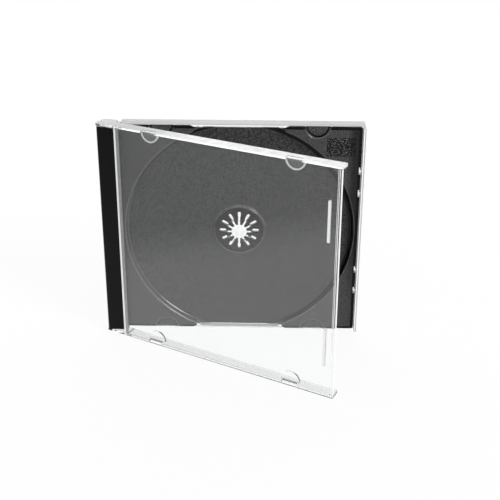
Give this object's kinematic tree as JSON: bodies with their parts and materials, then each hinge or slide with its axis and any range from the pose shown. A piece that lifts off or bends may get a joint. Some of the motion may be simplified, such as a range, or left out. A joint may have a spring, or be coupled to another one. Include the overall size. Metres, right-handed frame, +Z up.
{
  "type": "disc jewel case",
  "caption": "Slim hinged case standing half open on its long edge: clear lid with tabs, clear back and a dark tray with a round well and a finger hub.",
  "frame": {"origin": "on the long edge that the case stands on: the middle of its length, in the mid-plane of the rear panel", "axes": "+Z up along the hinge line, +X from the hinge side to the free side of the rear panel, +Y out of the back of the case; the lid opens towards -Y"},
  "size_m": [0.1427, 0.072, 0.1246],
  "materials": {
    "rear_shell": "clear polystyrene, polished",
    "disc_tray": "black polystyrene, fine satin",
    "lid": "clear polystyrene, polished"
  },
  "bodies": {
    "base": {"rear_shell": "rear_shell", "disc_tray": "disc_tray"},
    "lid": {"lid": "lid"}
  },
  "joints": [
    {"name": "lid_hinge", "type": "hinge", "parent": "base", "child": "lid", "pos_m": [-0.0661, -0.0043, 0.0623], "axis": [0, 0, -1], "range_deg": [-27, 153]}
  ]
}
